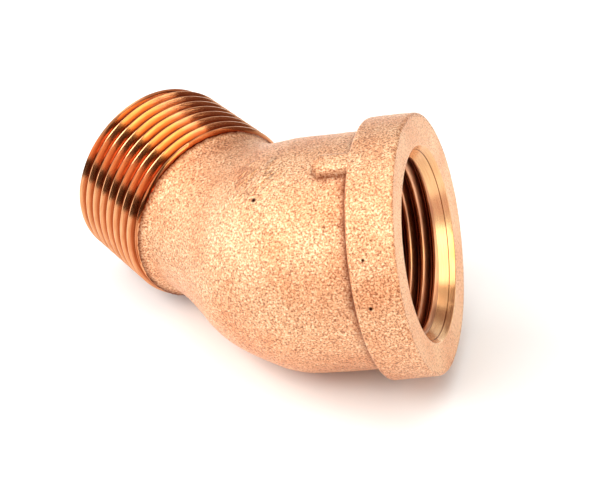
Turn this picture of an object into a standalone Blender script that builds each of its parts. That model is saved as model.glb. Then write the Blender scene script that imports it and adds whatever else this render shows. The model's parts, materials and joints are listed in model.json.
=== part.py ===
"""45 degree street elbow, 3/4-14 NPT male by female: one bronze casting with two machined threads.

It is drawn about the point where its two bore axes cross, with the female socket along +X and the
male end 135 degrees round from it in the XY plane. An empty then turns it to the way it lies.
"""

import math

import bmesh
import bpy
from mathutils import Matrix, Vector

MM = 0.001

# Driving dimensions, in millimetres.
BEND_DEG = 45.0
FACE_FROM_CENTRE = 23.0
MALE_END_FROM_CENTRE = 29.6
BAND_RADIUS = 18.4
BAND_WIDTH = 6.9
BAND_FACE_EDGE = 0.6
BAND_BACK_EDGE = 1.6
CUP_RADIUS_AT_BAND = 16.7
DOME_RADIUS = 16.5
DOME_FROM_CENTRE = 7.0
NECK_RADIUS = 12.1
NECK_TO_INSIDE = 0.5
NECK_UP = 0.25
COLLAR_RADIUS = 12.95
COLLAR_WIDTH = 1.4
LUG_WIDTH = 3.2
LUG_LENGTH = 5.3
LUG_TO_OUTSIDE = 0.55
LUG_BELOW_BAND = 0.1

# American taper pipe thread: 14 to the inch, one in sixteen on the diameter.
PITCH = 25.4 / 14
TAPER_ON_RADIUS = 1 / 32
MALE_END_CREST_RADIUS = 13.0
MALE_THREAD_LENGTH = 15.3
MALE_SHOULDER = MALE_END_FROM_CENTRE - MALE_THREAD_LENGTH
FEMALE_FACE_ROOT_RADIUS = 13.28
FEMALE_THREAD_LENGTH = 14.0
CREST_FLAT = 0.10
ROOT_FLAT = 0.08
THREAD_HEIGHT = (1 - CREST_FLAT - ROOT_FLAT) / 2 * PITCH * math.tan(math.radians(60))

# The mouth of the socket, the end of the male thread, and the bores behind the threads.
MOUTH_RADIUS = 13.85
MOUTH_THROAT_RADIUS = 12.0
MOUTH_DEPTH = 3.0
MALE_END_CHAMFER = 0.5
MALE_BORE_RADIUS = 9.6
SOCKET_BORE_RADIUS = 11.2
SOCKET_BORE_DOME_FROM_CENTRE = 4.0

# The direction that is upwards once it lies at rest on its lower lug, its band and its male end.
REST_UP = (0.2621, 0.1791, 0.9483)

# How finely the round shapes are drawn, and how far a cutter or a buried end runs past a surface.
SEGMENTS = 48
THREAD_SEGMENTS = 40
DOME_STEPS = 12
BORE_DOME_STEPS = 10
DOME_TIP_DEG = 178
BACK_EDGE_STEPS = 4
FACE_EDGE_STEPS = 3
LUG_END_STEPS = 8
PAST = 1.0
SAME_POINT = 1e-4
SHARP_DEG = 35.0

for old in list(bpy.data.objects):
    bpy.data.objects.remove(old)

rest = bpy.data.objects.new("rest", None)
bpy.context.scene.collection.objects.link(rest)


def as_cast_bronze():
    material = bpy.data.materials.new("as_cast_bronze")
    material.use_nodes = True
    shader = material.node_tree.nodes["Principled BSDF"]
    shader.inputs["Base Color"].default_value = (0.83, 0.46, 0.27, 1)
    shader.inputs["Metallic"].default_value = 1.0
    shader.inputs["Roughness"].default_value = 0.42
    return material


def solid(name, shape, turn_deg=0.0):
    """An object under the resting empty, from a bmesh in millimetres, turned about Z."""
    bmesh.ops.remove_doubles(shape, verts=shape.verts, dist=SAME_POINT)
    bmesh.ops.recalc_face_normals(shape, faces=shape.faces)
    turn = Matrix.Rotation(math.radians(turn_deg), 4, "Z")
    shape.transform(Matrix.Scale(MM, 4) @ turn)
    mesh = bpy.data.meshes.new(name)
    shape.to_mesh(mesh)
    shape.free()
    mesh.shade_smooth()
    mesh.set_sharp_from_angle(angle=math.radians(SHARP_DEG))
    made = bpy.data.objects.new(name, mesh)
    bpy.context.scene.collection.objects.link(made)
    made.parent = rest
    return made


def turned(outline, segments=SEGMENTS):
    """A closed bmesh turned about X from an outline of (x, radius) points, with flat ends."""
    shape = bmesh.new()
    angles = [2 * math.pi * (step + 0.5) / segments for step in range(segments)]
    rings = []
    for x, radius in outline:
        ring = [(x, radius * math.cos(angle), radius * math.sin(angle)) for angle in angles]
        rings.append([shape.verts.new(point) for point in ring])
    for near, far in zip(rings, rings[1:]):
        for step in range(segments):
            after = (step + 1) % segments
            shape.faces.new((near[step], near[after], far[after], far[step]))
    shape.faces.new(rings[0])
    shape.faces.new(rings[-1])
    return shape


def threaded(low, high, crest_radius):
    """A closed bmesh of a right-hand thread about X, from low to high.

    crest_radius is a function of x. The rows of points follow the four edges of the thread form
    round the helix, and the two ends are cut off square.
    """
    # A point on an edge of the form is taken as being just past it, on every turn alike.
    SAME_SIDE = 1e-9
    flank = (1 - CREST_FLAT - ROOT_FLAT) / 2
    edges = (0.0, CREST_FLAT, CREST_FLAT + flank, CREST_FLAT + flank + ROOT_FLAT)

    def depth(phase):
        if phase < edges[1]:
            return 0.0
        if phase < edges[2]:
            return (phase - edges[1]) / flank
        if phase < edges[3]:
            return 1.0
        return (1.0 - phase) / flank

    shape = bmesh.new()
    turns = math.ceil((high - low) / PITCH)
    columns = []
    for step in range(THREAD_SEGMENTS + 1):
        turn = step / THREAD_SEGMENTS
        column = []
        for row in range(-4, 4 * turns + 1):
            x = low + PITCH * (row // 4 + edges[row % 4] + turn)
            x = min(max(x, low), high)
            phase = ((x - low) / PITCH - turn + SAME_SIDE) % 1.0
            radius = crest_radius(x) - THREAD_HEIGHT * depth(phase)
            angle = 2 * math.pi * turn
            column.append(shape.verts.new((x, radius * math.cos(angle), radius * math.sin(angle))))
        columns.append(column)
    for left, right in zip(columns, columns[1:]):
        for row in range(len(left) - 1):
            shape.faces.new((left[row], right[row], right[row + 1], left[row + 1]))
    bmesh.ops.remove_doubles(shape, verts=shape.verts, dist=SAME_POINT)
    bmesh.ops.holes_fill(shape, edges=[edge for edge in shape.edges if edge.is_boundary], sides=0)
    return shape


def arc(centre_x, centre_radius, size, start_deg, end_deg, steps):
    """Points of (x, radius) round an arc, for a rounded edge in a turned outline."""
    points = []
    for step in range(steps + 1):
        angle = math.radians(start_deg + (end_deg - start_deg) * step / steps)
        points.append((centre_x + size * math.cos(angle), centre_radius + size * math.sin(angle)))
    return points


def cup():
    """The body round the socket: nearly a cylinder, ending in a dome round the bend."""
    dome = arc(DOME_FROM_CENTRE, 0.0, DOME_RADIUS, DOME_TIP_DEG, 90, DOME_STEPS)
    return turned(dome + [(FACE_FROM_CENTRE - BAND_WIDTH / 2, CUP_RADIUS_AT_BAND)])


def band():
    """The reinforcing band round the socket's mouth."""
    back = FACE_FROM_CENTRE - BAND_WIDTH
    inside = DOME_RADIUS - PAST
    back_radius = BAND_RADIUS - BAND_BACK_EDGE
    rounded_back = arc(back + BAND_BACK_EDGE, back_radius, BAND_BACK_EDGE, 180, 90, BACK_EDGE_STEPS)
    face = FACE_FROM_CENTRE - BAND_FACE_EDGE
    face_radius = BAND_RADIUS - BAND_FACE_EDGE
    rounded_face = arc(face, face_radius, BAND_FACE_EDGE, 90, 0, FACE_EDGE_STEPS)
    return turned([(back, inside)] + rounded_back + rounded_face + [(FACE_FROM_CENTRE, inside)])


def neck():
    """The neck between the dome and the collar, cast a little to the inside of the thread's axis."""
    shape = turned([(0.0, NECK_RADIUS), (MALE_SHOULDER - COLLAR_WIDTH / 3, NECK_RADIUS)])
    bmesh.ops.translate(shape, vec=(0, -NECK_TO_INSIDE, NECK_UP), verts=shape.verts)
    return shape


def collar():
    """The short flare where the cast skin rises to meet the first thread."""
    return turned([
        (MALE_SHOULDER - COLLAR_WIDTH, NECK_RADIUS - PAST),
        (MALE_SHOULDER, COLLAR_RADIUS),
        (MALE_SHOULDER + PAST / 2, NECK_RADIUS - 2 * PAST),
    ])


def male_thread():
    """The male thread, with a small chamfer at its tip and at its shoulder."""

    def crest_radius(x):
        tip = MALE_END_FROM_CENTRE - x
        return min(
            MALE_END_CREST_RADIUS + tip * TAPER_ON_RADIUS,
            MALE_END_CREST_RADIUS - MALE_END_CHAMFER + tip,
            COLLAR_RADIUS + x - MALE_SHOULDER,
        )

    return threaded(MALE_SHOULDER, MALE_END_FROM_CENTRE, crest_radius)


def lug(side):
    """One of the two lugs above and below the bend: flush with the band and round at its end."""
    shape = bmesh.new()
    half = LUG_WIDTH / 2
    back = FACE_FROM_CENTRE - BAND_WIDTH
    outline = [(back + BAND_BACK_EDGE, half)]
    outline += arc(back - LUG_LENGTH + half, 0.0, half, 90, 270, LUG_END_STEPS)
    outline += [(back + BAND_BACK_EDGE, -half)]
    outline = [(x, y - LUG_TO_OUTSIDE) for x, y in outline]
    inner = [shape.verts.new((x, y, side * (DOME_RADIUS - PAST))) for x, y in outline]
    top = BAND_RADIUS - LUG_BELOW_BAND
    outer = [shape.verts.new((x, y, side * math.sqrt(top * top - y * y))) for x, y in outline]
    count = len(outline)
    for step in range(count):
        after = (step + 1) % count
        shape.faces.new((inner[step], inner[after], outer[after], outer[step]))
    shape.faces.new(inner)
    shape.faces.new(outer)
    bmesh.ops.triangulate(shape, faces=[face for face in shape.faces if len(face.verts) > 4])
    return shape


def socket_thread():
    return threaded(
        FACE_FROM_CENTRE - FEMALE_THREAD_LENGTH,
        FACE_FROM_CENTRE + PAST,
        lambda x: FEMALE_FACE_ROOT_RADIUS - (FACE_FROM_CENTRE - x) * TAPER_ON_RADIUS,
    )


def mouth():
    slope = (MOUTH_RADIUS - MOUTH_THROAT_RADIUS) / MOUTH_DEPTH
    return turned([
        (FACE_FROM_CENTRE - MOUTH_DEPTH, MOUTH_THROAT_RADIUS),
        (FACE_FROM_CENTRE + PAST, MOUTH_RADIUS + PAST * slope),
    ])


def socket_bore():
    """The space behind the socket's thread, with a round end about the bend."""
    centre = SOCKET_BORE_DOME_FROM_CENTRE
    dome = arc(centre, 0.0, SOCKET_BORE_RADIUS, DOME_TIP_DEG, 90, BORE_DOME_STEPS)
    return turned(dome + [(FACE_FROM_CENTRE - MOUTH_DEPTH - PAST, SOCKET_BORE_RADIUS)])


def male_bore():
    return turned([(0.0, MALE_BORE_RADIUS), (MALE_END_FROM_CENTRE + PAST, MALE_BORE_RADIUS)])


def combine(base, other, operation):
    other.hide_render = True
    other.display_type = "WIRE"
    step = base.modifiers.new(other.name, "BOOLEAN")
    step.operation = operation
    step.object = other


male_turn = 180 - BEND_DEG
elbow = solid("elbow_casting", cup())
elbow.data.materials.append(as_cast_bronze())
combine(elbow, solid("neck", neck(), male_turn), "UNION")
combine(elbow, solid("collar", collar(), male_turn), "UNION")
combine(elbow, solid("band", band()), "UNION")
combine(elbow, solid("upper_lug", lug(1)), "UNION")
combine(elbow, solid("lower_lug", lug(-1)), "UNION")
combine(elbow, solid("male_thread", male_thread(), male_turn), "UNION")
combine(elbow, solid("socket_bore", socket_bore()), "DIFFERENCE")
combine(elbow, solid("male_bore", male_bore(), male_turn), "DIFFERENCE")
combine(elbow, solid("socket_thread", socket_thread()), "DIFFERENCE")
combine(elbow, solid("mouth", mouth()), "DIFFERENCE")

# Turn it about the floor's normal so that the socket points along +X, then stand it on the floor.
up = Vector(REST_UP).normalized()
right = (Vector((1, 0, 0)) - up * up.x).normalized()
rest.matrix_world = Matrix((right, up.cross(right), up)).to_4x4()
bpy.context.view_layer.update()
lying = elbow.evaluated_get(bpy.context.evaluated_depsgraph_get())
points = [lying.matrix_world @ vertex.co for vertex in lying.data.vertices]
low = Vector(min(point[axis] for point in points) for axis in range(3))
high = Vector(max(point[axis] for point in points) for axis in range(3))
middle = (low + high) / 2
rest.location = (-middle.x, -middle.y, -low.z)
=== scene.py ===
import json
import math

import bmesh
import bpy
import numpy as np
from mathutils import Matrix, Vector, noise


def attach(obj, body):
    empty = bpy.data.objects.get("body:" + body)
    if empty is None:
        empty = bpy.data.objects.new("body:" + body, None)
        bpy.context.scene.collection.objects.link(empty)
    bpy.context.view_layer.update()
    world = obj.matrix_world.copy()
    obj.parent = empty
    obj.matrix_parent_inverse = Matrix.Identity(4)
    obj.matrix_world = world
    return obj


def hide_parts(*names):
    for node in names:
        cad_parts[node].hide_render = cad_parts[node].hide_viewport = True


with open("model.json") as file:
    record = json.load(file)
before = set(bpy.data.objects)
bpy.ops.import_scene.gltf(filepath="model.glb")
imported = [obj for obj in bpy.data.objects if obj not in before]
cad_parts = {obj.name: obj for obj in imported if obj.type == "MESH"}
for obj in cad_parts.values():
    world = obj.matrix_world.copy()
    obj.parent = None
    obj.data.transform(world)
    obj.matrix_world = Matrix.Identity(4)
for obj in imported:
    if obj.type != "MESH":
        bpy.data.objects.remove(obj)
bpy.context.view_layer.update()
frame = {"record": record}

# How the elbow lies. It is one bronze casting, machined at both ends. Its two end faces, which the
# frame gives as mounts, say which way its axes point and where they cross. It is drawn in millimetres
# about that crossing, with the socket along +X and the male end at 135 degrees in the XY plane.
MM = 0.001
BEND_DEG = 45.0
FACE_FROM_CENTRE = 23.0
MALE_END_FROM_CENTRE = 29.6
FACE_MOUNT_FROM_AXIS = 15.8

mounts = {mount["name"]: mount for mount in frame["record"]["mounts"]}
socket_way = Vector(mounts["socket_end_face"]["axis"]).normalized()
male_way = Vector(mounts["male_end_face"]["axis"]).normalized()
upright = socket_way.cross(male_way).normalized()
lie = Matrix((socket_way, upright.cross(socket_way), upright)).transposed()
on_face = Vector((FACE_FROM_CENTRE, -FACE_MOUNT_FROM_AXIS, 0)) * MM
crossing = Vector(mounts["socket_end_face"]["pos_m"]) - lie @ on_face
male_turn = math.radians(180 - BEND_DEG)
male_axis = np.array([math.cos(male_turn), math.sin(male_turn), 0.0])


# The male thread. A taper die cuts it in one pass on the bare end, 14 threads to the inch and one in
# sixteen on the diameter, as far as a shoulder at the cast collar. One rule draws it and the
# socket's: rows of points that follow the helix, cut off square at the two ends.
COLUMNS = 240
ROWS_A_PITCH = 12
PITCH = 25.4 / 14
TAPER_ON_RADIUS = 1 / 32
SAME_POINT = 0.0005
MALE_THREAD_HEIGHT = 1.0
MALE_END_CREST_RADIUS = 13.0
MALE_END_CHAMFER = 0.5
MALE_SHOULDER = 14.3
COLLAR_RADIUS = 12.95
JUST_PAST = 0.01
MULTIPLIED = {"data_type": "RGBA", "blend_type": "MULTIPLY"}


def colour(hex_text):
    """A linear colour from an sRGB hex value."""
    channels = [int(hex_text[start:start + 2], 16) / 255 for start in (1, 3, 5)]
    linear = [c / 12.92 if c <= 0.04045 else ((c + 0.055) / 1.055) ** 2.4 for c in channels]
    return (*linear, 1.0)


def add(tree, kind, inputs=None, stops=(), **settings):
    """Adds a node. inputs maps a socket's name or number to a value or to the socket that feeds it.

    stops gives a colour ramp its places, each with a hex colour or a grey.
    """
    node = tree.nodes.new(kind)
    for name, value in settings.items():
        setattr(node, name, value)
    for key, value in (inputs or {}).items():
        if isinstance(value, bpy.types.NodeSocket):
            tree.links.new(value, node.inputs[key])
        else:
            node.inputs[key].default_value = value
    if stops:
        elements = node.color_ramp.elements
        while len(elements) < len(stops):
            elements.new(0.5)
        for element, (place, tone) in zip(elements, stops):
            element.position = place
            element.color = colour(tone) if isinstance(tone, str) else (tone, tone, tone, 1.0)
    return node


def thread_tree():
    """Geometry nodes for one thread about X, between Low and High. It is a tube with open ends."""
    tree = bpy.data.node_groups.new("pipe_thread", "GeometryNodeTree")
    named_inputs = {
        "NodeSocketFloat": (
            "Low", "High", "Pitch", "Taper", "Crest Radius at Low", "Height", "Flat",
            "Tip Radius", "Shoulder Radius", "Throat Radius", "Throat Slope",
        ),
        "NodeSocketInt": ("Columns", "Rows a Pitch", "Rows"),
        "NodeSocketMaterial": ("Material",),
    }
    for kind, names in named_inputs.items():
        for name in names:
            tree.interface.new_socket(name=name, in_out="INPUT", socket_type=kind)
    tree.interface.new_socket(name="Geometry", in_out="OUTPUT", socket_type="NodeSocketGeometry")
    known = {socket.name: socket for socket in add(tree, "NodeGroupInput").outputs}
    known["index"] = add(tree, "GeometryNodeInputIndex").outputs[0]

    # Each row is one sum: its name, the operation, and the terms by name or value.
    sums = (
        ("columns and seam", "ADD", "Columns", 1.0),
        ("mid index", "ADD", "index", 0.5),
        ("columns before", "DIVIDE", "mid index", "Rows"),
        ("column", "FLOOR", "columns before"),
        ("points before", "MULTIPLY", "column", "Rows"),
        ("row", "SUBTRACT", "index", "points before"),
        ("turn", "DIVIDE", "column", "Columns"),
        # Along the axis, each row climbs one pitch a turn. A row past an end is held on it.
        ("pitches up", "DIVIDE", "row", "Rows a Pitch"),
        ("from first turn", "SUBTRACT", "pitches up", 1.0),
        ("climb", "ADD", "from first turn", "turn"),
        ("climbed to", "MULTIPLY_ADD", "climb", "Pitch", "Low"),
        ("above low", "MAXIMUM", "climbed to", "Low"),
        ("along", "MINIMUM", "above low", "High"),
        ("from low", "SUBTRACT", "along", "Low"),
        ("to high", "SUBTRACT", "High", "along"),
        # How far the form has dropped from its crest: flat, flank, flat.
        ("pitches", "DIVIDE", "from low", "Pitch"),
        ("phase", "SUBTRACT", "pitches", "turn"),
        ("half flat", "MULTIPLY", "Flat", 0.5),
        ("from crest edge", "SUBTRACT", "phase", "half flat"),
        ("from crest", "PINGPONG", "from crest edge", 0.5),
        ("down the flank", "SUBTRACT", "from crest", "half flat"),
        ("flank", "SUBTRACT", 0.5, "Flat"),
        ("share", "DIVIDE", "down the flank", "flank"),
        ("share from 0", "MAXIMUM", "share", 0.0),
        ("drop", "MINIMUM", "share from 0", 1.0),
        # The tip, the shoulder and the mouth trim the form where a cutter would.
        ("full crest", "MULTIPLY_ADD", "from low", "Taper", "Crest Radius at Low"),
        ("tip", "ADD", "Tip Radius", "to high"),
        ("shoulder", "ADD", "Shoulder Radius", "from low"),
        ("trim", "MINIMUM", "tip", "shoulder"),
        ("crest", "MINIMUM", "full crest", "trim"),
        ("dropped", "MULTIPLY", "drop", "Height"),
        ("form", "SUBTRACT", "crest", "dropped"),
        ("mouth widens", "MULTIPLY", "to high", "Throat Slope"),
        ("mouth", "SUBTRACT", "Throat Radius", "mouth widens"),
        ("radius", "MAXIMUM", "form", "mouth"),
        ("angle", "MULTIPLY", "turn", math.tau),
        ("cosine", "COSINE", "angle"),
        ("sine", "SINE", "angle"),
        ("across", "MULTIPLY", "radius", "cosine"),
        ("upwards", "MULTIPLY", "radius", "sine"),
    )
    for name, operation, *terms in sums:
        feeds = {slot: known[term] if isinstance(term, str) else term for slot, term in enumerate(terms)}
        known[name] = add(tree, "ShaderNodeMath", feeds, operation=operation).outputs[0]

    grid_size = {"Vertices X": known["columns and seam"], "Vertices Y": known["Rows"]}
    grid = add(tree, "GeometryNodeMeshGrid", grid_size).outputs["Mesh"]
    place = {"X": known["along"], "Y": known["across"], "Z": known["upwards"]}
    place = add(tree, "ShaderNodeCombineXYZ", place).outputs[0]
    tube = add(tree, "GeometryNodeSetPosition", {"Geometry": grid, "Position": place}).outputs[0]
    welded = {"Geometry": tube, "Distance": SAME_POINT}
    welded = add(tree, "GeometryNodeMergeByDistance", welded).outputs[0]
    real = add(tree, "GeometryNodeRealizeInstances", {"Geometry": welded}).outputs[0]
    finished = {"Geometry": real, "Material": known["Material"]}
    finished = add(tree, "GeometryNodeSetMaterial", finished).outputs[0]
    add(tree, "NodeGroupOutput", {0: finished})
    return tree


pipe_thread = thread_tree()


def cut_thread(low, high, finish, sizes):
    """Points (n, 3) and faces of one thread, from low to high on X."""
    blank = bpy.data.objects.new("thread_blank", bpy.data.meshes.new("thread_blank"))
    bpy.context.scene.collection.objects.link(blank)
    modifier = blank.modifiers.new("pipe_thread", "NODES")
    modifier.node_group = pipe_thread
    inputs = [item for item in pipe_thread.interface.items_tree if item.in_out == "INPUT"]
    identifiers = {item.name: item.identifier for item in inputs}
    rows = math.ceil((high - low) / PITCH) * ROWS_A_PITCH + ROWS_A_PITCH + 1
    given = {
        "Low": low, "High": high, "Pitch": PITCH, "Flat": 1 / ROWS_A_PITCH, "Columns": COLUMNS,
        "Rows a Pitch": ROWS_A_PITCH, "Rows": rows, "Material": finish, **sizes,
    }
    for name, value in given.items():
        modifier[identifiers[name]] = value
    graph = bpy.context.evaluated_depsgraph_get()
    mesh = bpy.data.meshes.new_from_object(blank.evaluated_get(graph))
    points = np.array([vertex.co for vertex in mesh.vertices])
    faces = [tuple(face.vertices) for face in mesh.polygons]
    bpy.data.objects.remove(blank)
    bpy.data.meshes.remove(mesh)
    return points, faces


def about_male(points):
    """Along the male axis, across it away from the bend's inside, and up."""
    along = points @ male_axis
    across = points @ np.array([-math.sin(male_turn), math.cos(male_turn), 0.0])
    return along, across, points[:, 2]


def male_groove(points):
    """From 0 at the male thread's crest to 1 at its root, where painted shade darkens it."""
    along, across, up = about_male(points)
    crest = MALE_END_CREST_RADIUS + (MALE_END_FROM_CENTRE - along) * TAPER_ON_RADIUS
    depth = np.clip((crest - np.hypot(across, up)) / MALE_THREAD_HEIGHT, 0, 1)
    return depth * (along > MALE_SHOULDER + JUST_PAST)


def new_finish(name):
    """An empty material of bare metal."""
    material = bpy.data.materials.new(name)
    material.use_nodes = True
    tree = material.node_tree
    tree.nodes.clear()
    shader = add(tree, "ShaderNodeBsdfPrincipled", {"Metallic": 1.0})
    add(tree, "ShaderNodeOutputMaterial", {"Surface": shader.outputs[0]})
    return material, tree, shader


def drawn_place(tree, turn_back=0.0):
    """The point in the drawing's millimetres, or turned back about Z by that angle."""
    back = Matrix.Rotation(-turn_back, 3, "Z") @ lie.transposed()
    here = add(tree, "ShaderNodeTexCoord").outputs["Object"]
    mapping = add(tree, "ShaderNodeMapping", {
        "Vector": here, "Scale": (1 / MM,) * 3, "Rotation": tuple(back.to_euler("XYZ")),
        "Location": tuple(-(back @ crossing) / MM),
    })
    return mapping.outputs[0]


def drag_lines(tree, place, lines_a_mm, around, detail):
    """Lines that a cutting edge leaves round X: so many a millimetre, and long around it."""
    drag = add(tree, "ShaderNodeMapping", {"Vector": place, "Scale": (lines_a_mm, around, around)})
    lines = {"Vector": drag.outputs[0], "Scale": 1.0, "Detail": detail}
    return add(tree, "ShaderNodeTexNoise", lines).outputs[0]


def thread_finish(name, turn_back, metal, root_shade, roughness, bump, bump_depth):
    """Cut bronze with drag lines along the helix, with painted shade darker towards the root of each
    groove.
    """
    material, tree, shader = new_finish(name)
    # A real edge leaves some 30 lines a millimetre. They are drawn at 9, the finest that show.
    lines = drag_lines(tree, drawn_place(tree, turn_back), 9.0, 0.5, 3.0)
    bright = add(tree, "ShaderNodeValToRGB", {0: lines}, metal).outputs[0]
    # Painted shade: the colour darkens from the crest towards the root of each groove.
    depth = add(tree, "ShaderNodeAttribute", attribute_name="groove").outputs["Fac"]
    root_shaded = add(tree, "ShaderNodeValToRGB", {0: depth}, root_shade).outputs[0]
    lined_and_root_shaded = add(tree, "ShaderNodeMix", {0: 1.0, 6: bright, 7: root_shaded}, **MULTIPLIED)
    tree.links.new(lined_and_root_shaded.outputs[2], shader.inputs["Base Color"])
    shader.inputs["Roughness"].default_value = roughness
    rise = add(tree, "ShaderNodeBump", {"Strength": bump, "Distance": bump_depth, "Height": lines})
    tree.links.new(rise.outputs[0], shader.inputs["Normal"])
    return material


# Bronze cut by a die: smooth bright flanks that mirror the room in sharp bands, with painted shade
# browner in the grooves.
die_cut = thread_finish(
    "die_cut_bronze", male_turn, ((0.3, "#CC8A5C"), (0.7, "#E8AA7C")),
    ((0.1, "#FFFFFF"), (0.5, "#C08A70"), (1.0, "#6A3A26")), 0.14, 0.3, 0.00003,
)

male_length = MALE_END_FROM_CENTRE - MALE_SHOULDER
male_points, male_faces = cut_thread(MALE_SHOULDER, MALE_END_FROM_CENTRE, die_cut, {
    "Crest Radius at Low": MALE_END_CREST_RADIUS + male_length * TAPER_ON_RADIUS,
    "Taper": -TAPER_ON_RADIUS, "Height": MALE_THREAD_HEIGHT,
    "Tip Radius": MALE_END_CREST_RADIUS - MALE_END_CHAMFER, "Shoulder Radius": COLLAR_RADIUS,
    "Throat Radius": 0.0, "Throat Slope": 0.0,
})
male_points = male_points @ np.array(Matrix.Rotation(male_turn, 3, "Z")).T


# The socket's thread. A taper tap cuts it inside the banded end, 14 mm deep, and the reamed mouth
# trims its first turns away. It has the full height of the form.
THREAD_HEIGHT = 1.288
FACE_ROOT_RADIUS = 13.28
SOCKET_THREAD_END = 9.0
MOUTH_RADIUS = 13.85
THROAT_RADIUS = 12.55
THROAT_DEPTH = 2.15
NO_TRIM = 99.0


def socket_groove(points):
    """From 0 at the socket thread's crest to 1 at its root."""
    root = FACE_ROOT_RADIUS - (FACE_FROM_CENTRE - points[:, 0]) * TAPER_ON_RADIUS
    from_axis = np.hypot(points[:, 1], points[:, 2])
    depth = np.clip(1 - (root - from_axis) / THREAD_HEIGHT, 0, 1)
    return depth * (points[:, 0] > SOCKET_THREAD_END)


# Bronze cut by a tap: the same metal, duller, because the chips scuff it on their way out, and with
# painted shade in its grooves as well.
tapped = thread_finish(
    "tapped_bronze", 0.0, ((0.3, "#D89A74"), (0.7, "#F0B890")),
    ((0.2, "#FFFFFF"), (0.9, "#7A4C38")), 0.3, 0.35, 0.00004,
)

throat = FACE_FROM_CENTRE - THROAT_DEPTH
thread_from_face = FACE_FROM_CENTRE - SOCKET_THREAD_END
socket_points, socket_faces = cut_thread(SOCKET_THREAD_END, throat, tapped, {
    "Crest Radius at Low": FACE_ROOT_RADIUS - thread_from_face * TAPER_ON_RADIUS,
    "Taper": TAPER_ON_RADIUS, "Height": THREAD_HEIGHT,
    "Tip Radius": NO_TRIM, "Shoulder Radius": NO_TRIM,
    "Throat Radius": THROAT_RADIUS, "Throat Slope": (MOUTH_RADIUS - THROAT_RADIUS) / THROAT_DEPTH,
})


# The cast body between the threads. It is poured in a sand mould round a core, knocked out, fettled
# and tumbled: a cup with a domed end, a neck that runs into it at the bend, a band round the mouth
# and a lug above and below. It is drawn as rings round the bent path, each point of a ring found
# where a line from the path leaves the solid.
CUP_RADIUS_AT_BAND = 16.75
DOME_RADIUS = 16.5
DOME_FROM_CENTRE = 7.0
NECK_RADIUS = 12.1
NECK_TO_INSIDE = 0.5
NECK_UP = 0.25
NECK_END_FALL = 0.05
NECK_FILLET = 4.5
COLLAR_WIDTH = 1.4
COLLAR_SLOPE = (COLLAR_RADIUS - NECK_RADIUS + 1) / COLLAR_WIDTH
COLLAR_FILLET = 0.8
BAND_RADIUS = 18.4
BAND_WIDTH = 6.9
BAND_BACK = FACE_FROM_CENTRE - BAND_WIDTH
BAND_BACK_EDGE = 0.6
BAND_FACE_EDGE = 0.45
BAND_FILLET = 0.2
LUG_WIDTH = 3.2
LUG_LENGTH = 5.3
LUG_TO_OUTSIDE = 0.55
LUG_BELOW_BAND = 0.1
LUG_DRAFT = 0.08
LUG_HEIGHT = 1.5
LUG_EDGE = 0.25
LUG_FILLET = 0.4
# How steeply a shape's distance grows past the plane that ends it, and how often a line out to a
# shape's surface is halved to find it.
PAST_END = 4
HALVINGS = 26
# The bend's rings fan out about a pivot this far from the crossing, on the inside of the bend.
FAN_FROM_CENTRE = 22.0
STRAIGHT_FROM = FAN_FROM_CENTRE * math.sin(math.radians(BEND_DEG / 2))
# The unevenness of a sand mould: each layer's height, size of its lumps, and seed.
MOULD_LAYERS = ((0.10, 7.0, 1), (0.045, 2.6, 2), (0.03, 1.2, 3))
# The parting line of the mould's two halves: where it is, its width and its height.
PARTING_UP = -0.2
PARTING_WIDTH = 0.35
PARTING_HEIGHT = 0.05
# How far the painted shade reaches out of a corner beside a lug, over the cup, and at the male thread.
PAINTED_SHADE_BESIDE_LUG = 0.45
PAINTED_SHADE_OVER_CUP = 0.5
PAINTED_SHADE_AT_THREAD = 0.28
TORN_ALONG = 0.22
TORN_OUT = 0.10


def blend(first, second, size):
    """The union of two solids by their distances, with a fillet of about this size."""
    near = np.clip(0.5 + 0.5 * (second - first) / size, 0, 1)
    return second + (first - second) * near - size * near * (1 - near)


def lumps(points, size, seed):
    """Smooth noise from about -1 to 1, with lumps of about this size in millimetres."""
    shift = Vector((seed * 17.3, seed * 5.1, seed * 9.7))
    return np.array([noise.noise(Vector(point) / size + shift) for point in points])


def cup(points):
    past_dome = points[:, 0] - DOME_FROM_CENTRE
    flare = (CUP_RADIUS_AT_BAND - DOME_RADIUS) / (BAND_BACK - DOME_FROM_CENTRE)
    from_axis = np.hypot(points[:, 1], points[:, 2])
    wall = from_axis - DOME_RADIUS - np.maximum(past_dome, 0) * flare
    dome = np.linalg.norm(points - np.array([DOME_FROM_CENTRE, 0, 0]), axis=1) - DOME_RADIUS
    return np.where(past_dome > 0, wall, dome)


def neck(points):
    """The neck and its collar. It narrows past the crossing, so that it ends inside the cup."""
    along, across, up = about_male(points)
    end_fall = NECK_END_FALL * np.maximum(-along, 0) ** 2
    plain = np.hypot(across + NECK_TO_INSIDE, up - NECK_UP) - NECK_RADIUS + end_fall
    collar = np.hypot(across, up) - COLLAR_RADIUS + (MALE_SHOULDER - along) * COLLAR_SLOPE
    return blend(plain, collar, COLLAR_FILLET)


def band(points):
    x = points[:, 0]
    back = np.clip(BAND_BACK + BAND_BACK_EDGE - x, 0, BAND_BACK_EDGE)
    front = np.clip(x - FACE_FROM_CENTRE + BAND_FACE_EDGE, 0, BAND_FACE_EDGE)
    radius = BAND_RADIUS - BAND_BACK_EDGE + np.sqrt(BAND_BACK_EDGE**2 - back**2)
    radius += np.sqrt(BAND_FACE_EDGE**2 - front**2) - BAND_FACE_EDGE
    behind = np.maximum(BAND_BACK - x, 0)
    return np.hypot(points[:, 1], points[:, 2]) - radius + PAST_END * behind


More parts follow.
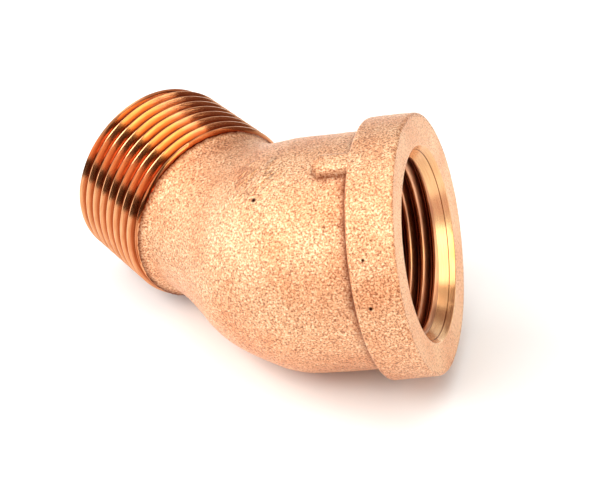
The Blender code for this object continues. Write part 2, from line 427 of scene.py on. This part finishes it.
def lugs(points):
    half = LUG_WIDTH / 2
    x, y = points[:, 0], points[:, 1] + LUG_TO_OUTSIDE
    short = BAND_BACK - LUG_LENGTH + half - x
    long = x - BAND_BACK - BAND_BACK_EDGE
    beside = np.hypot(np.maximum(np.maximum(short, long), 0), y) - half
    above = np.hypot(points[:, 1], points[:, 2]) - BAND_RADIUS + LUG_BELOW_BAND
    draft = LUG_DRAFT * (above + LUG_HEIGHT)
    return -blend(-(beside + draft), -above, LUG_EDGE)


def solid(points):
    body = blend(cup(points), neck(points), NECK_FILLET)
    body = blend(body, band(points), BAND_FILLET)
    return blend(body, lugs(points), LUG_FILLET)


def corner_shade_and_residue(points):
    """From 0 on open surface to 1 in a corner: painted shade beside the lugs and at the male thread's
    shoulder, and painted shade with a residue that the tumbling media didn't reach behind the band.
    """
    behind = np.maximum(BAND_BACK - points[:, 0], 0)
    reach = 0.95 + 0.4 * lumps(points, 1.6, 12)
    below_band = np.hypot(points[:, 1], points[:, 2]) < BAND_RADIUS - 1.0
    at_band = np.exp(-(behind / reach) ** 2) * below_band * (points[:, 0] < BAND_BACK + 0.3)
    body = blend(cup(points), neck(points), NECK_FILLET)
    beside_lug = np.exp(-(lugs(points) / PAINTED_SHADE_BESIDE_LUG) ** 2)
    beside_lug *= 0.9 * np.exp(-(body / PAINTED_SHADE_OVER_CUP) ** 2)
    at_thread = np.exp(-((points @ male_axis - MALE_SHOULDER) / PAINTED_SHADE_AT_THREAD) ** 2)
    return np.maximum(at_band, np.maximum(beside_lug, at_thread))


def stations(low, high, spacing):
    return np.linspace(low, high, max(2, round(abs(high - low) / spacing) + 1))


def on_socket(x):
    """A ring's centre on the socket's axis, and its direction away from the bend's inside."""
    return np.array([x, 0.0, 0.0]), np.array([0.0, -1.0, 0.0])


def on_male(along):
    bend = math.radians(BEND_DEG)
    return male_axis * along, np.array([-math.cos(bend), -math.sin(bend), 0])


def on_bend(turn_deg):
    """A ring's centre and its direction away from the pivot, this far round from the socket."""
    half_bend = math.radians(90 - BEND_DEG / 2)
    pivot = FAN_FROM_CENTRE * np.array([math.cos(half_bend), math.sin(half_bend), 0])
    turn = math.radians(turn_deg)
    away = np.array([-math.sin(turn), -math.cos(turn), 0])
    return pivot + away * FAN_FROM_CENTRE * math.sin(half_bend), away


def directions(away):
    """The outward direction of each column of a ring."""
    angles = np.arange(COLUMNS) * math.tau / COLUMNS
    return np.outer(np.cos(angles), away) + np.outer(np.sin(angles), np.array([0.0, 0.0, 1.0]))


def circle(station, radius):
    centre, away = station
    return centre + directions(away) * (np.zeros(COLUMNS) + radius)[:, None]


def leave(shape, station, inner, outer):
    """The ring of points where lines out from the station's centre leave the shape, by halving."""
    near = np.full(COLUMNS, inner)
    far = np.full(COLUMNS, outer)
    for _ in range(HALVINGS):
        middle = (near + far) / 2
        inside = shape(circle(station, middle)) < 0
        near = np.where(inside, middle, near)
        far = np.where(inside, far, middle)
    return near


def cast_ring(station):
    """One ring of the cast surface: the solid's outline, with the unevenness of a sand mould."""
    ring = circle(station, leave(solid, station, 6.0, 26.0))
    uneven = sum(height * lumps(ring, size, seed) for height, size, seed in MOULD_LAYERS)
    parting = np.exp(-((ring[:, 2] - PARTING_UP) / PARTING_WIDTH) ** 2)
    parting *= PARTING_HEIGHT * (1 + lumps(ring, 3.0, 4))
    return ring + directions(station[1]) * (uneven + parting)[:, None]


# The cast skin stops where the die stopped, at a torn edge against the last groove.
torn = cast_ring(on_male(MALE_SHOULDER - 0.02))
torn += np.outer(TORN_ALONG * lumps(torn, 0.5, 5), male_axis)
torn += directions(on_male(0)[1]) * (TORN_OUT * lumps(torn, 0.6, 11))[:, None]
skin = [torn]
skin += [cast_ring(on_male(s)) for s in stations(MALE_SHOULDER - 0.25, STRAIGHT_FROM + 0.25, 0.27)]
skin += [cast_ring(on_bend(turn)) for turn in stations(BEND_DEG, 0.0, BEND_DEG / 62)]
skin += [cast_ring(on_socket(x)) for x in stations(STRAIGHT_FROM + 0.3, BAND_BACK - 0.2, 0.32)]
skin += [
    cast_ring(on_socket(x)) for x in stations(BAND_BACK - 0.08, BAND_BACK + BAND_BACK_EDGE, 0.12)
]
skin += [
    cast_ring(on_socket(x)) for x in stations(BAND_BACK + 1.9, FACE_FROM_CENTRE - 0.65, 0.34)
]
for angle_deg in (15, 35, 55, 75, 90):
    past = BAND_FACE_EDGE * (1 - math.sin(math.radians(angle_deg)))
    skin.append(cast_ring(on_socket(FACE_FROM_CENTRE - past - 0.004)))

# One gas hole at the bend and two on the band, by place and radius, drawn only as spots of painted
# shade, and the cold folds over the bend, where the metal met itself as it filled the mould.
PITS = ((2.4, -3.9, 15.2, 0.5), (18.4, -17.4, 5.8, 0.36), (18.4, -14.0, 11.8, 0.3))
FOLDS_AT = (1.9, 0.2, 15.6)
FOLDS_REACH = 4.5
FOLDS_TURN_DEG = -45.0
FOLDS_STRETCH = (0.3, 1.1, 0.6)
FOLDS_DEPTH = 0.0008
# Noise scales, in lumps a millimetre. Foundry sand is about 0.2 mm and is drawn at 0.3 mm, which is
# as fine as shows. The sheen of the tumbling varies with it, and the tint of the metal over 6 mm.
GRIT_A_MM = 3.4
SHEEN_A_MM = 6.0
TINT_A_MM = 0.16
SHEEN_DEPTH = 0.00006


def cast_finish(name, tones, depth):
    """The cast skin in four tones, from the grit to the tops of the pebbles."""
    material, tree, shader = new_finish(name)
    place = drawn_place(tree)
    grit = {"Vector": place, "Scale": GRIT_A_MM, "Detail": 4.0, "Roughness": 0.8}
    grit = add(tree, "ShaderNodeTexNoise", grit).outputs[0]
    fine = {"Vector": place, "Scale": SHEEN_A_MM, "Detail": 1.0}
    fine = add(tree, "ShaderNodeTexNoise", fine).outputs[0]
    broad = {"Vector": place, "Scale": TINT_A_MM, "Detail": 2.0}
    broad = add(tree, "ShaderNodeTexNoise", broad).outputs[0]
    tone = list(zip((0.38, 0.47, 0.55, 0.64), tones))
    tone = add(tree, "ShaderNodeValToRGB", {0: grit}, tone).outputs[0]
    tint = add(tree, "ShaderNodeValToRGB", {0: broad}, ((0.3, "#F4E0D4"), (0.7, "#FFFFFF"))).outputs[0]
    bare = add(tree, "ShaderNodeMix", {0: 1.0, 6: tone, 7: tint}, **MULTIPLIED).outputs[2]

    # Painted shade in the corners, and residue behind the band: the colour darkens towards #7E4E3E.
    reach = add(tree, "ShaderNodeAttribute", attribute_name="corner_shade_and_residue").outputs["Fac"]
    corner_shaded = {0: reach, 6: bare, 7: colour("#7E4E3E")}
    corner_shaded = add(tree, "ShaderNodeMix", corner_shaded, **MULTIPLIED).outputs[2]
    # Painted shade in the gas holes: a dark spot at each, with no hollow in the surface.
    nearest = 1.0
    for x, y, z, size in PITS:
        apart = {0: place, 1: (x, y, z)}
        apart = add(tree, "ShaderNodeVectorMath", apart, operation="DISTANCE").outputs["Value"]
        share = add(tree, "ShaderNodeMath", {0: apart, 1: size}, operation="DIVIDE").outputs[0]
        nearest = add(tree, "ShaderNodeMath", {0: nearest, 1: share}, operation="MINIMUM").outputs[0]
    pit_shade = add(tree, "ShaderNodeValToRGB", {0: nearest}, ((0.55, "#3A221A"), (1.0, "#FFFFFF"))).outputs[0]
    pit_shaded = add(tree, "ShaderNodeMix", {0: 1.0, 6: corner_shaded, 7: pit_shade}, **MULTIPLIED)
    tree.links.new(pit_shaded.outputs[2], shader.inputs["Base Color"])
    sheen = add(tree, "ShaderNodeValToRGB", {0: fine}, ((0.3, 0.3), (0.7, 0.42)))
    tree.links.new(sheen.outputs[0], shader.inputs["Roughness"])

    turned = {"Vector": place, "Angle": math.radians(FOLDS_TURN_DEG)}
    turned = add(tree, "ShaderNodeVectorRotate", turned).outputs[0]
    stretched = {0: turned, 1: FOLDS_STRETCH}
    stretched = add(tree, "ShaderNodeVectorMath", stretched, operation="MULTIPLY").outputs[0]
    folds = {"Vector": stretched, "Scale": 1.0, "Detail": 2.0}
    folds = add(tree, "ShaderNodeTexNoise", folds).outputs[0]
    edged = add(tree, "ShaderNodeValToRGB", {0: folds}, ((0.44, 0.0), (0.54, 1.0))).outputs[0]
    apart = {0: place, 1: FOLDS_AT}
    apart = add(tree, "ShaderNodeVectorMath", apart, operation="DISTANCE").outputs["Value"]
    apart = add(tree, "ShaderNodeMath", {0: apart, 1: FOLDS_REACH}, operation="DIVIDE").outputs[0]
    here = add(tree, "ShaderNodeValToRGB", {0: apart}, ((0.4, 1.0), (1.0, 0.0))).outputs[0]
    fold = add(tree, "ShaderNodeMath", {0: edged, 1: here}, operation="MULTIPLY").outputs[0]

    rise = {"Strength": 1.0, "Distance": depth, "Height": grit}
    rise = add(tree, "ShaderNodeBump", rise).outputs[0]
    rise = {"Strength": 0.6, "Distance": SHEEN_DEPTH, "Height": fine, "Normal": rise}
    rise = add(tree, "ShaderNodeBump", rise).outputs[0]
    rise = {"Strength": 1.0, "Distance": FOLDS_DEPTH, "Height": fold, "Normal": rise}
    rise = add(tree, "ShaderNodeBump", rise).outputs[0]
    tree.links.new(rise, shader.inputs["Normal"])
    return material


# Bronze cast in sand and tumbled: bright pebbles with darker grit between them, over broad soft lumps.
# It glitters. Painted shade darkens its corners, with a brown residue that the tumbling didn't reach
# behind the band.
cast_skin = cast_finish(
    "sand_cast_bronze_tumbled", ("#8E5840", "#E0A078", "#FCCCA0", "#FFF4D4"), 0.00016
)


# The socket's face and mouth. The face is as cast, flatter and finer than the rest. The mouth is
# reamed to a smooth cone that leads the pipe in, with a scored line part of the way down it.
FACE_OUTER = BAND_RADIUS - BAND_FACE_EDGE
SCORE_FROM_FACE = 0.85

face = []
for radius in (FACE_OUTER - 0.15, FACE_OUTER - 0.9, 16.0, 15.2, 14.5, MOUTH_RADIUS + 0.12):
    ring = circle(on_socket(FACE_FROM_CENTRE - 0.01), radius)
    ring[:, 0] += 0.018 * lumps(ring, 2.0, 6) + 0.02 * lumps(ring, 5.0, 7)
    face.append(ring)
lip = circle(on_socket(FACE_FROM_CENTRE - 0.03), MOUTH_RADIUS)
lip += directions(on_socket(0)[1]) * (0.05 * lumps(lip, 0.9, 8))[:, None]
mouth = [lip]
for share in (0.06, 0.35, 0.65, 0.94, 1.0):
    radius = MOUTH_RADIUS - share * (MOUTH_RADIUS - THROAT_RADIUS)
    mouth.append(circle(on_socket(FACE_FROM_CENTRE - share * THROAT_DEPTH), radius))

# The face lay against the flat of the core, so its sand shows paler and shallower.
cast_face = cast_finish("sand_cast_bronze_face", ("#BC8A68", "#F4BE92", "#FFCE9E", "#FFE4BC"), 0.0001)

# Bronze cut by a reamer: the brightest and palest of it, with fine rings round the axis.
reamed, tree, shader = new_finish("reamed_bronze")
place = drawn_place(tree)
rings = drag_lines(tree, place, 12.0, 0.3, 2.0)
metal = add(tree, "ShaderNodeValToRGB", {0: rings}, ((0.3, "#E8AE7C"), (0.7, "#F6C692"))).outputs[0]
along = add(tree, "ShaderNodeSeparateXYZ", {0: place}).outputs[0]
apart = {0: along, 1: FACE_FROM_CENTRE - SCORE_FROM_FACE}
apart = add(tree, "ShaderNodeMath", apart, operation="SUBTRACT").outputs[0]
apart = add(tree, "ShaderNodeMath", {0: apart}, operation="ABSOLUTE").outputs[0]
score = add(tree, "ShaderNodeValToRGB", {0: apart}, ((0.03, "#8A5A3C"), (0.08, "#FFFFFF"))).outputs[0]
scored = add(tree, "ShaderNodeMix", {0: 1.0, 6: metal, 7: score}, **MULTIPLIED)
tree.links.new(scored.outputs[2], shader.inputs["Base Color"])
shader.inputs["Roughness"].default_value = 0.22


# The waterway. The core leaves it rougher than the outside and a little darker: a round-ended space
# behind the socket's thread, and a plain bore out through the male end.
SOCKET_BORE_RADIUS = 11.2
SOCKET_BORE_DOME = 4.0
MALE_BORE_RADIUS = 9.6
BORE_EDGE = 0.3
BORES_FILLET = 0.8


def waterway(points):
    x = points[:, 0]
    straight = np.hypot(points[:, 1], points[:, 2])
    dome = np.linalg.norm(points - np.array([SOCKET_BORE_DOME, 0, 0]), axis=1)
    from_core = np.where(x > SOCKET_BORE_DOME, straight, dome) - SOCKET_BORE_RADIUS
    along, across, up = about_male(points)
    from_bore = np.hypot(across, up) - MALE_BORE_RADIUS + PAST_END * np.maximum(-along, 0)
    return blend(from_core, from_bore, BORES_FILLET)


def core_ring(station):
    ring = circle(station, leave(waterway, station, 2.0, 20.0))
    uneven = 0.12 * lumps(ring, 4.0, 9) + 0.05 * lumps(ring, 1.5, 10)
    return ring + directions(station[1]) * uneven[:, None]


to_bend = stations(SOCKET_THREAD_END - 0.02, STRAIGHT_FROM + 0.1, 0.3)
to_end = stations(STRAIGHT_FROM + 0.6, MALE_END_FROM_CENTRE - 1.2, 1.1)
bore = [core_ring(on_socket(x)) for x in to_bend]
bore += [core_ring(on_bend(turn)) for turn in stations(0.0, BEND_DEG, 1.8)]
bore += [core_ring(on_male(s)) for s in to_end]
male_end = [circle(on_male(MALE_END_FROM_CENTRE - BORE_EDGE - 0.05), MALE_BORE_RADIUS)]
for radius in (MALE_BORE_RADIUS + BORE_EDGE, 10.3, 11.0, 11.55):
    male_end.append(circle(on_male(MALE_END_FROM_CENTRE), radius))

# Bronze cast against a sand core and never tumbled: a dull brown skin with coarse grit. The grit is
# drawn at 0.6 mm, because the finer grains don't show this deep in the shade.
cored, tree, shader = new_finish("cored_bronze")
grit = {"Vector": drawn_place(tree), "Scale": 1.6, "Detail": 4.0, "Roughness": 0.7}
grit = add(tree, "ShaderNodeTexNoise", grit).outputs[0]
brown = add(tree, "ShaderNodeValToRGB", {0: grit}, ((0.3, "#7A4A30"), (0.7, "#B9805A")))
tree.links.new(brown.outputs[0], shader.inputs["Base Color"])
shader.inputs["Roughness"].default_value = 0.55
rise = add(tree, "ShaderNodeBump", {"Strength": 0.7, "Distance": 0.0002, "Height": grit})
tree.links.new(rise.outputs[0], shader.inputs["Normal"])


# The elbow, one piece of metal: the rings and the two threads are joined into one closed surface,
# from the male thread's shoulder over the skin and into the mouth, and back out through the waterway.
SHARP_DEG = 50
WELD = 0.0003
FINISHES = (cast_skin, die_cut, tapped, reamed, cored, cast_face)


def end_ring(points, way, place, station):
    """The thread's points in one end plane, in the order of the columns."""
    at_end = points[np.abs(points @ way - place) < 1e-3]
    centre, away = station
    angles = np.arctan2(at_end[:, 2], (at_end - centre) @ away)
    column = np.round(angles / math.tau * COLUMNS).astype(int) % COLUMNS
    ring = np.zeros((COLUMNS, 3))
    ring[column] = at_end
    return ring


x_way = np.array([1.0, 0.0, 0.0])
shoulder_ring = end_ring(male_points, male_axis, MALE_SHOULDER, on_male(MALE_SHOULDER))
tip_ring = end_ring(male_points, male_axis, MALE_END_FROM_CENTRE, on_male(MALE_END_FROM_CENTRE))
throat_ring = end_ring(socket_points, x_way, throat, on_socket(throat))
deep_ring = end_ring(socket_points, x_way, SOCKET_THREAD_END, on_socket(SOCKET_THREAD_END))

# Each ring comes with the finish of the strip from it to the next one.
outside = [(shoulder_ring, die_cut)]
outside += [(ring, cast_skin) for ring in skin]
outside += [(ring, cast_face) for ring in face]
outside += [(ring, reamed) for ring in mouth[:-1]]
outside += [(mouth[-1], tapped), (throat_ring, None)]
inside = [(deep_ring, tapped)]
inside += [(ring, cored) for ring in bore]
inside += [(ring, die_cut) for ring in male_end]
inside += [(tip_ring, None)]

points = [male_points, socket_points]
faces = list(male_faces)
faces += [tuple(corner + len(male_points) for corner in corners) for corners in socket_faces]
finishes = [FINISHES.index(die_cut)] * len(male_faces) + [FINISHES.index(tapped)] * len(socket_faces)
count = len(male_points) + len(socket_points)
for strips in (outside, inside):
    points += [ring for ring, _ in strips]
    for _, finish in strips[:-1]:
        for column in range(COLUMNS):
            near, after = count + column, count + (column + 1) % COLUMNS
            faces.append((near, after, after + COLUMNS, near + COLUMNS))
        finishes += [FINISHES.index(finish)] * COLUMNS
        count += COLUMNS
    count += COLUMNS

mesh = bpy.data.meshes.new("bronze_street_elbow")
mesh.from_pydata(np.concatenate(points).tolist(), [], faces)
mesh.polygons.foreach_set("material_index", finishes)
for finish in FINISHES:
    mesh.materials.append(finish)
work = bmesh.new()
work.from_mesh(mesh)
bmesh.ops.remove_doubles(work, verts=work.verts, dist=WELD)
bmesh.ops.recalc_face_normals(work, faces=work.faces)
if work.calc_volume(signed=True) < 0:
    bmesh.ops.reverse_faces(work, faces=work.faces)
work.transform(Matrix.Translation(crossing) @ lie.to_4x4() @ Matrix.Scale(MM, 4))
work.to_mesh(mesh)
work.free()
mesh.shade_smooth()
mesh.set_sharp_from_angle(angle=math.radians(SHARP_DEG))

# A tap leaves its crests rounded over, so they stay smooth. A die leaves them sharp.
drawn = np.array([lie.transposed() @ (vertex.co - crossing) for vertex in mesh.vertices]) / MM
on_male_end = drawn @ male_axis > MALE_SHOULDER + JUST_PAST
groove = np.where(on_male_end, male_groove(drawn), socket_groove(drawn))
tapped_point = (groove > 0) & (drawn[:, 0] > SOCKET_THREAD_END) & (drawn[:, 0] < throat)
ends = np.array([edge.vertices[:] for edge in mesh.edges])
sharp = np.zeros(len(mesh.edges), bool)
mesh.attributes["sharp_edge"].data.foreach_get("value", sharp)
sharp &= ~(tapped_point[ends[:, 0]] | tapped_point[ends[:, 1]])
mesh.attributes["sharp_edge"].data.foreach_set("value", sharp)
mesh.attributes.new("corner_shade_and_residue", "FLOAT", "POINT").data.foreach_set("value", corner_shade_and_residue(drawn))
mesh.attributes.new("groove", "FLOAT", "POINT").data.foreach_set("value", groove)

elbow = bpy.data.objects.new("bronze_street_elbow", mesh)
bpy.context.scene.collection.objects.link(elbow)
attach(elbow, "root")
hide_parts("elbow_casting")


# The table. A wide sheet of matt white paper lies flat on it, and the elbow rests on that.
TABLE_HALF = 3
PAPER_FINISH = {"Base Color": colour("#FBFAF8"), "Roughness": 0.8}

scene = bpy.context.scene
corners = [(x * TABLE_HALF, y * TABLE_HALF, 0) for x, y in ((-1, -1), (1, -1), (1, 1), (-1, 1))]
table_mesh = bpy.data.meshes.new("table")
table_mesh.from_pydata(corners, [], [(0, 1, 2, 3)])
table = bpy.data.objects.new("table", table_mesh)
scene.collection.objects.link(table)
paper = bpy.data.materials.new("white_paper")
paper.use_nodes = True
for name, value in PAPER_FINISH.items():
    paper.node_tree.nodes["Principled BSDF"].inputs[name].default_value = value
table_mesh.materials.append(paper)


# The lights: a white room and three soft boxes, at the left, over the left shoulder and overhead.
LIGHT_DISTANCE = 0.7

world = bpy.data.worlds.new("studio")
world.use_nodes = True
world.node_tree.nodes["Background"].inputs["Color"].default_value = colour("#FFFDFA")
world.node_tree.nodes["Background"].inputs["Strength"].default_value = 0.85
scene.world = world


def towards(azimuth, elevation):
    """The direction from the elbow. Azimuth 0 is the front, 90 is along +X; both in degrees."""
    turn, rise = math.radians(azimuth), math.radians(elevation)
    level = math.cos(rise)
    return Vector((math.sin(turn) * level, -math.cos(turn) * level, math.sin(rise)))


def softbox(name, azimuth, elevation, size, radiance):
    """A rectangular area light that faces the elbow."""
    light = bpy.data.lights.new(name, "AREA")
    light.shape = "RECTANGLE"
    light.size, light.size_y = size
    light.energy = radiance * math.pi * size[0] * size[1]
    made = bpy.data.objects.new(name, light)
    away = towards(azimuth, elevation)
    made.location = away * LIGHT_DISTANCE
    made.rotation_mode = "QUATERNION"
    made.rotation_quaternion = away.to_track_quat("Z", "Y")
    scene.collection.objects.link(made)


softbox("key_softbox", -42, 42, (0.5, 0.4), 5.5)
softbox("left_softbox", -100, 35, (0.35, 0.3), 5.0)
softbox("overhead_softbox", 0, 88, (0.45, 0.45), 1.5)


# The cards, dark or glowing, stand about the elbow for its metal to mirror. The camera and the table
# don't see them, and they cast no shadow.
CARD_STEPS = 24
CARD_CENTRE = (0, 0, 0.017)
CARD_DISTANCE = 0.45
NEAR_CARD_DISTANCE = 0.0818
MOUTH_CENTRE = (0.0237, -0.0055, 0.0207)
MOUTH_CARD_DISTANCE = 0.055


def card(name, hex_text, corners, quads, glow):
    finish = {
        "Base Color": colour(hex_text), "Roughness": 0.9,
        "Emission Color": colour(hex_text), "Emission Strength": glow,
    }
    paint = bpy.data.materials.new(name)
    paint.use_nodes = True
    for socket, value in finish.items():
        paint.node_tree.nodes["Principled BSDF"].inputs[socket].default_value = value
    paint.cycles.emission_sampling = "NONE"
    shape = bpy.data.meshes.new(name)
    shape.from_pydata(corners, [], quads)
    shape.materials.append(paint)
    made = bpy.data.objects.new(name, shape)
    made.visible_camera = False
    made.visible_diffuse = False
    made.visible_shadow = False
    scene.collection.objects.link(made)


def curved_card(name, hex_text, azimuths, elevations, distance, centre=CARD_CENTRE, glow=0.0):
    """A card that curves round the centre, between these azimuths and elevations."""
    corners = []
    for step in range(CARD_STEPS + 1):
        azimuth = azimuths[0] + (azimuths[1] - azimuths[0]) * step / CARD_STEPS
        for elevation in elevations:
            corners.append(towards(azimuth, elevation) * distance + Vector(centre))
    quads = [(2 * n, 2 * n + 1, 2 * n + 3, 2 * n + 2) for n in range(CARD_STEPS)]
    card(name, hex_text, corners, quads, glow)


curved_card("horizon_card", "#4E3C30", (-20, 36), (-9, 8.5), NEAR_CARD_DISTANCE)
# A pale pink-grey card, seen only as a painted reflection in the metal.
curved_card("pink_grey_reflection_card", "#C0A8A8", (36, 80), (-12, 5.5), NEAR_CARD_DISTANCE)
curved_card("orange_card", "#FFC09A", (4, 19.5), (8, 30), CARD_DISTANCE)
curved_card("front_card", "#4E3C30", (19.5, 35.5), (4, 42), CARD_DISTANCE)
curved_card("gold_glow", "#FFE8A8", (36, 79), (22, 48), CARD_DISTANCE, glow=1.8)
for name, hex_text, azimuths, elevations, glow in (
    ("mouth_glow", "#FFFCF0", (38, 66), (14, 50), 1.55),
    ("mouth_high_glow", "#FFF4E0", (66, 128), (40, 74), 1.5),
    ("mouth_low_glow", "#FFFCF0", (128, 152), (44, 66), 2.0),
):
    curved_card(name, hex_text, azimuths, elevations, MOUTH_CARD_DISTANCE, MOUTH_CENTRE, glow)
card("thread_card", "#6A4A3E", [
    (0.045, 0.003, 0.028), (0.045, 0.07, 0.028), (0.045, 0.07, 0.1), (0.045, 0.003, 0.1),
], [(0, 1, 2, 3)], 0.0)


# The camera looks down on the elbow from the front, a little round towards the socket's face. It
# stands well back behind a long lens, which keeps the two ends near one scale.
CAMERA_AZIMUTH = 9.53
CAMERA_ELEVATION = 35.72
CAMERA_ROLL = 1.78
CAMERA_DISTANCE = 0.7
CAMERA_LENS = 300.0
AIM = Vector((5.17, -3.30, 17.02)) * MM

camera = bpy.data.objects.new("camera", bpy.data.cameras.new("camera"))
scene.collection.objects.link(camera)
away = towards(CAMERA_AZIMUTH, CAMERA_ELEVATION)
roll = Matrix.Rotation(math.radians(CAMERA_ROLL), 4, "Z").to_quaternion()
camera.location = AIM + away * CAMERA_DISTANCE
camera.rotation_mode = "QUATERNION"
camera.rotation_quaternion = away.to_track_quat("Z", "Y") @ roll
camera.data.lens = CAMERA_LENS
camera.data.clip_end = 20
scene.camera = camera
scene.view_settings.view_transform = "Standard"
